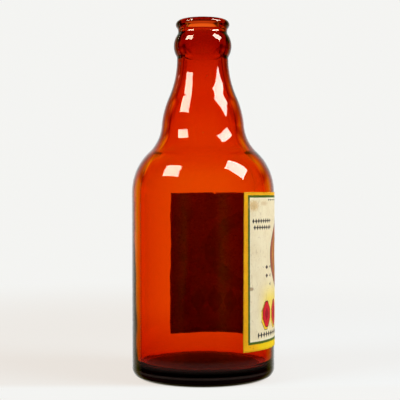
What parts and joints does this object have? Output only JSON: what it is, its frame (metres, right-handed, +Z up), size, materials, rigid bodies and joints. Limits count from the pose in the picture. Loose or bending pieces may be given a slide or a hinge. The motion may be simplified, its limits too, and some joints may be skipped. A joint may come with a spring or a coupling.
{
  "type": "glass bottle",
  "caption": "Short-necked round amber glass bottle with a crown-cap finish, a thick moulded base and a wrap-around paper label, open at the mouth.",
  "frame": {"origin": "centre of the ring that the bottle stands on", "axes": "+Z up along the bottle's axis, -Y towards the middle of the label, mould joint lines at +Y and -Y"},
  "size_m": [0.0706, 0.0705, 0.1755],
  "materials": {
    "amber_glass": "fire-polished gloss",
    "dry_glue": "matt, dried, tan",
    "printed_paper": "aged semi-matt print"
  },
  "bodies": {
    "root": {"bottle_glass": "amber_glass", "label_adhesive": "dry_glue", "paper_label": "printed_paper"}
  },
  "joints": []
}
